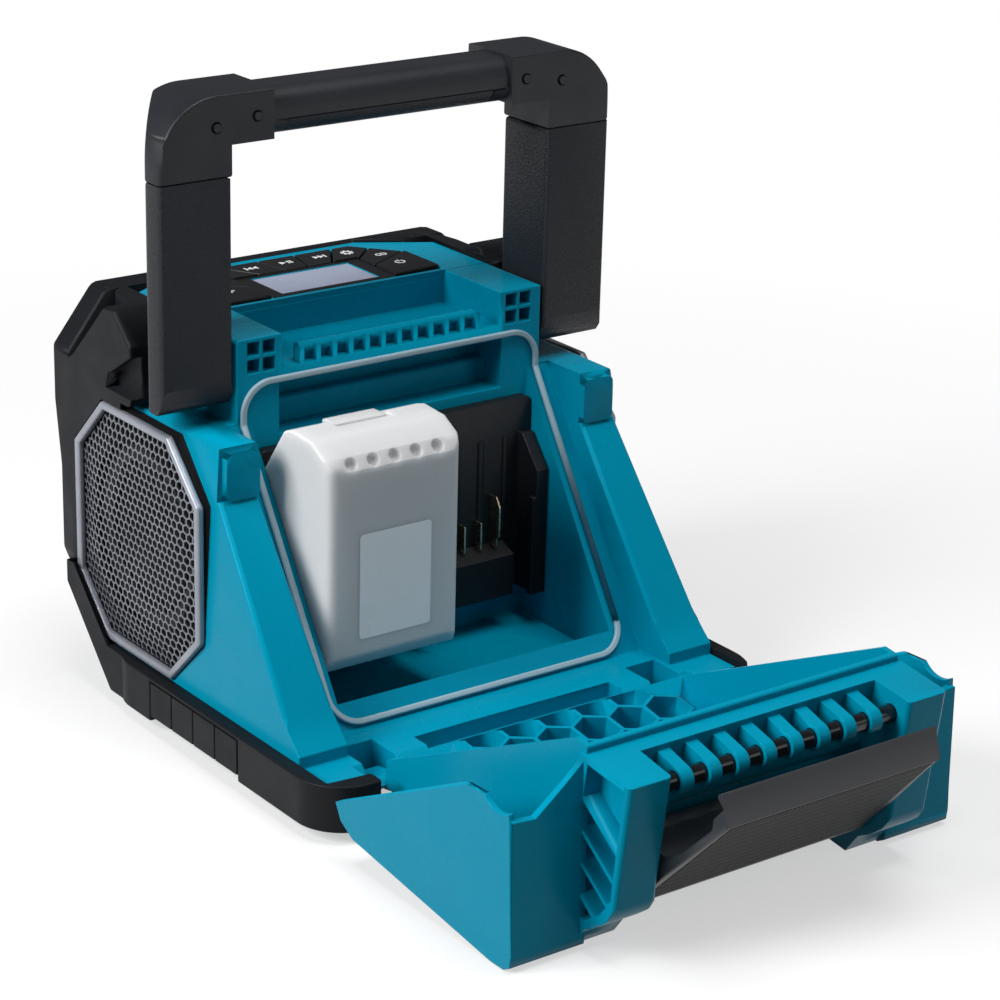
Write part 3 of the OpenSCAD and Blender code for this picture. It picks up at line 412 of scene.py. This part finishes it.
# How far the ring's corners are cut back, and the sheet's cells, rise and thickness
ring_corner = 27 * MM
cell_pitch, cell_web = 4.5 * MM, 0.95 * MM
sheet_margin, sheet_skirt, sheet_rise, sheet_thickness = 4.6 * MM, 17 * MM, 2.7 * MM, 0.6 * MM
pod_depth = 8 * MM


def octagon_sides(grow):
    """The side ring's eight straight edges, each a direction and its distance from the middle."""
    low, high = corners_of("ring_left")
    across, up = (high.y - low.y) / 2 + grow, (high.z - low.z) / 2 + grow
    corner = ring_corner + grow * (2 - sqrt(2))
    slant = (across + up - corner) / sqrt(2)
    reach = (across, slant, up, slant) * 2
    return [(Vector((cos(step * pi / 4), sin(step * pi / 4), 0)), reach[step]) for step in range(8)]


def clip_to_octagon(shape, grow):
    for side, reach in octagon_sides(grow):
        bmesh.ops.bisect_plane(shape, geom=all_of(shape), plane_co=side * reach, plane_no=side,
                               clear_outer=True)


def repeat_along(shape, step, count):
    """Fill a line with copies of what the shape holds, a step apart."""
    first = all_of(shape)
    for number in range(1, count):
        copy = bmesh.ops.duplicate(shape, geom=first)["geom"]
        bmesh.ops.translate(shape, verts=points_in(copy), vec=step * number)


def perforated_sheet(width, pitch, web):
    """A flat square of hexagonal cells, centred on the origin."""
    shape = bmesh.new()
    bmesh.ops.create_circle(shape, cap_ends=True, segments=6, radius=pitch / 2 / cos(pi / 6))
    cell = shape.faces[:]
    bmesh.ops.inset_individual(shape, faces=cell, thickness=web / 2)
    bmesh.ops.delete(shape, geom=cell, context="FACES_ONLY")
    row_step = pitch * sin(pi / 3)
    columns = int(width / pitch) + 2
    row_pairs = int(width / row_step) // 2 + 2
    repeat_along(shape, Vector((pitch, 0, 0)), columns)
    second_row = bmesh.ops.duplicate(shape, geom=all_of(shape))["geom"]
    bmesh.ops.translate(shape, verts=points_in(second_row), vec=(pitch / 2, row_step, 0))
    repeat_along(shape, Vector((0, 2 * row_step, 0)), row_pairs)
    bmesh.ops.remove_doubles(shape, verts=shape.verts, dist=pitch / 50)
    bmesh.ops.translate(shape, verts=shape.verts, vec=(-columns * pitch / 2, -row_pairs * row_step, 0))
    return shape


def swell(shape, skirt, rise):
    """Press the sheet into a plateau with straight skirts that drop to its border."""
    sides = octagon_sides(-4 * MM)
    for point in shape.verts:
        inside = min(reach - side.dot(point.co) for side, reach in sides)
        point.co.z += rise * min(max(inside / skirt, 0), 1)


def face_out(shape, side, centre, height):
    """Turn a shape drawn in XY to face left or right, at a height over the middle plane."""
    turn = Matrix(((0, 0, side), (side, 0, 0), (0, 1, 0))).to_4x4()
    bmesh.ops.transform(shape, matrix=Matrix.Translation((side * height, centre.y, centre.z)) @ turn,
                        verts=shape.verts)


def add_grille(node, side):
    """A domed sheet of fine cells in place of a CAD mesh, 0.7 mm out from its inner face."""
    low, high = corners_of(node)
    base = min(abs(low.x), abs(high.x))
    shape = perforated_sheet(high.z - low.z, cell_pitch, cell_web)
    clip_to_octagon(shape, -sheet_margin)
    swell(shape, sheet_skirt, sheet_rise)
    bmesh.ops.solidify(shape, geom=shape.faces[:], thickness=sheet_thickness)
    face_out(shape, side, (low + high) / 2, base + 0.7 * MM)
    bmesh.ops.recalc_face_normals(shape, faces=shape.faces)
    piece = add_piece(node + "_sheet", shape, finishes["mesh_grey"], body_with(node))
    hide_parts(node)


def paint_pod_shade(housing):
    """Painted shade: a near-black, matte colour on the housing's floor behind the side grilles, standing in
    for the shade in that recess.
    """
    housing.data.materials.append(pod_painted_shade)
    low, high = corners_of("ring_left")
    centre = (low + high) / 2
    outermost = abs(high.x) + 0.2 * MM
    innermost = abs(high.x) - pod_depth
    sides = octagon_sides(1.5 * MM)
    for face in housing.data.polygons:
        corners = [housing.data.vertices[number].co for number in face.vertices]
        flat = [Vector((spot.y - centre.y, spot.z - centre.z, 0)) for spot in corners]
        framed = all(side.dot(spot) < reach for spot in flat for side, reach in sides)
        if framed and all(innermost < abs(spot.x) < outermost for spot in corners):
            # These faces take the painted shade
            face.material_index = 1


add_grille("mesh_left", -1)
add_grille("mesh_right", 1)
paint_pod_shade(bpy.data.objects["rear_housing_moulded"])


# Black frame printed round the display

def add_display_frame(reach, rear, front, border, lip):
    """A thin black sheet on the top panel whose opening laps over the lens by a lip with a skirt."""
    low, high = corners_of("lcd_lens")
    thickness = 0.2 * MM
    middle = Vector((0, (rear + front) / 2, corners_of("top_panel")[1].z + thickness))
    half = (front - rear) / 2
    shape = bmesh.new()
    add_rectangle(shape, 2 * reach, 2 * half)
    sheet = shape.faces[:]
    bmesh.ops.inset_individual(shape, faces=sheet, thickness=border)
    opening = sheet[0].verts[:]
    narrower = (high.x - lip) / (reach - border)
    shorter = ((high.y - low.y) / 2 - lip) / (half - border)
    bmesh.ops.scale(shape, verts=opening, vec=(narrower, shorter, 1))
    bmesh.ops.translate(shape, verts=opening, vec=(0, (low.y + high.y) / 2 - middle.y, 0))
    rim = sheet[0].edges[:]
    bmesh.ops.delete(shape, geom=sheet, context="FACES_ONLY")
    skirt = bmesh.ops.extrude_edge_only(shape, edges=rim)["geom"]
    bmesh.ops.translate(shape, verts=points_in(skirt), vec=(0, 0, high.z - middle.z))
    bmesh.ops.recalc_face_normals(shape, faces=shape.faces)
    bmesh.ops.solidify(shape, geom=shape.faces[:], thickness=thickness)
    bmesh.ops.translate(shape, verts=shape.verts, vec=middle)
    bmesh.ops.recalc_face_normals(shape, faces=shape.faces)
    add_piece("display_frame", shape, finishes["key_black"], body_with("top_panel"))


add_display_frame(reach=35.9 * MM, rear=49.8 * MM, front=85.9 * MM, border=4 * MM, lip=0.6 * MM)


# Blank label on the battery's outer face

def add_label(node, width, height, drop):
    """A thin film with rounded corners, drawn below the top of the face that looks out of the bay."""
    low, high = corners_of(node)
    shape = bmesh.new()
    add_rectangle(shape, width, height)
    bmesh.ops.bevel(shape, geom=shape.verts[:], offset=2 * MM, offset_type="OFFSET", affect="VERTICES",
                    segments=4, profile=0.5, material=-1)
    bmesh.ops.solidify(shape, geom=shape.faces[:], thickness=0.12 * MM)
    stand = Matrix.Rotation(pi / 2, 4, "X")
    spot = Vector(((low.x + high.x) / 2, low.y - 0.02 * MM, high.z - drop - height / 2))
    bmesh.ops.transform(shape, matrix=Matrix.Translation(spot) @ stand, verts=shape.verts)
    bmesh.ops.recalc_face_normals(shape, faces=shape.faces)
    add_piece(node + "_label", shape, label_film, body_with(node))


add_label("battery_case", width=40 * MM, height=52 * MM, drop=45 * MM)


# Marks on the keys, drawn in millimetres round each key's middle

def add_bar(shape, x, y, width, height, turn=0):
    spin = Matrix.Rotation(radians(turn), 4, "Z")
    add_rectangle(shape, width, height, spin @ Matrix.Translation((x, y, 0)))


def add_arrow(shape, x, width, height):
    """A triangle that points along its width, from x on."""
    spot = Matrix.Translation((x + width / 3, 0, 0))
    size = Matrix.Diagonal((width / 1.5, height / 1.732, 1, 1))
    ahead = Matrix.Rotation(-pi / 2, 4, "Z")
    bmesh.ops.create_circle(shape, cap_ends=True, segments=3, radius=1, matrix=spot @ size @ ahead)


def add_arc(shape, x, radius, width, start, sweep):
    """Part of a flat ring round x, from a start angle on; a whole ring where it sweeps 360 degrees."""
    centre = Vector((x, 0, 0))
    outward = Vector((cos(radians(start)), sin(radians(start)), 0))
    inner = shape.verts.new(centre + outward * (radius - width / 2))
    outer = shape.verts.new(centre + outward * (radius + width / 2))
    line = shape.edges.new((inner, outer))
    bmesh.ops.spin(shape, geom=[inner, outer, line], cent=centre, axis=(0, 0, 1), angle=radians(sweep),
                   steps=20, use_merge=sweep == 360)


def plus_mark(shape):
    minus_mark(shape)
    add_bar(shape, 0, 0, 1.1, 5)


def minus_mark(shape):
    add_bar(shape, 0, 0, 5, 1.1)


def next_mark(shape):
    add_arrow(shape, -3.4, 3, 4)
    add_arrow(shape, -0.4, 3, 4)
    add_bar(shape, 3.1, 0, 0.9, 4)


def previous_mark(shape):
    add_arrow(shape, 3.4, -3, 4)
    add_arrow(shape, 0.4, -3, 4)
    add_bar(shape, -3.1, 0, 0.9, 4)


def play_mark(shape):
    add_arrow(shape, -3.2, 3.4, 4)
    add_bar(shape, 1.6, 0, 0.9, 4)
    add_bar(shape, 3.2, 0, 0.9, 4)


def power_mark(shape):
    add_arc(shape, 0, 2.4, 0.8, 125, 290)
    add_bar(shape, 0, 1.8, 0.8, 2.8)


def gear_mark(shape):
    add_arc(shape, 0, 1.9, 1.1, 0, 360)
    for turn in range(0, 360, 45):
        add_bar(shape, 2.9, 0, 1.2, 1.1, turn)


def pair_mark(shape):
    add_arc(shape, -1.3, 1.6, 0.7, 0, 360)
    add_arc(shape, 1.3, 1.6, 0.7, 0, 360)


def light_mark(shape):
    add_arc(shape, 0, 0.9, 1.6, 0, 360)
    for turn in range(0, 360, 60):
        add_bar(shape, 3, 0, 1.4, 0.7, turn)


def mark_key(node, draw):
    """Print a mark on top of a key, 0.12 mm thick."""
    low, high = corners_of(node)
    shape = bmesh.new()
    draw(shape)
    grown = bmesh.ops.extrude_face_region(shape, geom=shape.faces[:])["geom"]
    bmesh.ops.translate(shape, verts=points_in(grown), vec=(0, 0, 0.12))
    bmesh.ops.scale(shape, verts=shape.verts, vec=(MM, MM, MM))
    bmesh.ops.translate(shape, verts=shape.verts, vec=((low.x + high.x) / 2, (low.y + high.y) / 2, high.z))
    bmesh.ops.recalc_face_normals(shape, faces=shape.faces)
    add_piece(node + "_mark", shape, icon_paint, body_with(node))


marks = {
    "key_plus": plus_mark, "key_minus": minus_mark, "key_light": light_mark, "key_prev": previous_mark,
    "key_play": play_mark, "key_next": next_mark, "key_mode": gear_mark, "key_pair": pair_mark,
    "key_power": power_mark,
}
for node, draw in marks.items():
    mark_key(node, draw)


# Studio

def studio_paper():
    """White paper that keeps a pale shadow near the object and shows plain white further out."""
    material, tree, shader = new_material("studio_paper")
    shader.inputs["Roughness"].default_value = 0.9
    shader.inputs["Specular IOR Level"].default_value = 0.1
    away = tree.nodes.new("ShaderNodeVectorMath")
    away.operation = "LENGTH"
    tree.links.new(place(tree), away.inputs[0])
    white_share = spread(tree, away.outputs["Value"], 0.5, 1, 0.2, 0.8)
    path = tree.nodes.new("ShaderNodeLightPath")
    seen = path.outputs["Is Camera Ray"]
    for kind in ("Is Glossy Ray", "Is Transmission Ray"):
        either = tree.nodes.new("ShaderNodeMath")
        either.operation = "MAXIMUM"
        tree.links.new(seen, either.inputs[0])
        tree.links.new(path.outputs[kind], either.inputs[1])
        seen = either.outputs["Value"]
    share = tree.nodes.new("ShaderNodeMath")
    share.operation = "MULTIPLY"
    tree.links.new(white_share, share.inputs[0])
    tree.links.new(seen, share.inputs[1])
    paper = blend_colours(tree, seen, (0.16, 0.16, 0.16), (0.88, 0.88, 0.88))
    tree.links.new(paper, shader.inputs["Base Color"])
    glow = tree.nodes.new("ShaderNodeEmission")
    mix = tree.nodes.new("ShaderNodeMixShader")
    tree.links.new(share.outputs["Value"], mix.inputs["Fac"])
    tree.links.new(shader.outputs["BSDF"], mix.inputs[1])
    tree.links.new(glow.outputs["Emission"], mix.inputs[2])
    tree.links.new(mix.outputs["Shader"], tree.nodes["Material Output"].inputs["Surface"])
    return material


def add_floor():
    shape = bmesh.new()
    bmesh.ops.create_grid(shape, x_segments=1, y_segments=1, size=8)
    mesh = bpy.data.meshes.new("floor")
    shape.to_mesh(mesh)
    shape.free()
    floor = bpy.data.objects.new("floor", mesh)
    scene.collection.objects.link(floor)
    mesh.materials.append(studio_paper())


def add_softbox(name, spot, aim, size, power):
    light = bpy.data.lights.new(name, "AREA")
    light.shape = "RECTANGLE"
    light.size, light.size_y = size
    light.energy = power
    lamp = bpy.data.objects.new(name, light)
    scene.collection.objects.link(lamp)
    lamp.location = spot
    lamp.rotation_euler = (Vector(aim) - Vector(spot)).to_track_quat("-Z", "Y").to_euler()


def add_world():
    world = bpy.data.worlds.new("studio")
    scene.world = world
    world.use_nodes = True
    sky = world.node_tree.nodes["Background"]
    sky.inputs["Color"].default_value = (1, 1, 1, 1)
    sky.inputs["Strength"].default_value = 0.12


def add_camera():
    """The photograph's viewpoint: where it stands, its turn, its tilt down and a slight roll."""
    stand = Vector((-0.7848, -1.1347, 0.6148))
    yaw, tilt, roll = radians(-36.87), radians(20.48), radians(1.49)
    back = Vector((sin(yaw) * cos(tilt), -cos(yaw) * cos(tilt), sin(tilt)))
    level = Vector((cos(yaw), sin(yaw), 0))
    above = back.cross(level)
    right = cos(roll) * level + sin(roll) * above
    up = cos(roll) * above - sin(roll) * level
    lens = bpy.data.cameras.new("camera")
    lens.sensor_width = 36
    lens.lens = 108.54
    lens.clip_start, lens.clip_end = 0.05, 50
    camera = bpy.data.objects.new("camera", lens)
    scene.collection.objects.link(camera)
    turn = Matrix((right, up, back)).transposed().to_4x4()
    camera.matrix_world = Matrix.Translation(stand) @ turn
    scene.camera = camera


add_floor()
add_world()
add_softbox("key_light", (-1.9, 0.1, 1.35), (0, -0.05, 0.12), (1.1, 1.1), 56)
add_softbox("top_light", (0.1, -0.45, 2.3), (0, -0.05, 0.1), (1.2, 1.2), 32)
add_softbox("right_fill", (1.2, -1.9, 1.0), (0, -0.1, 0.1), (0.9, 0.9), 3)
add_camera()
scene.view_settings.view_transform = "Standard"
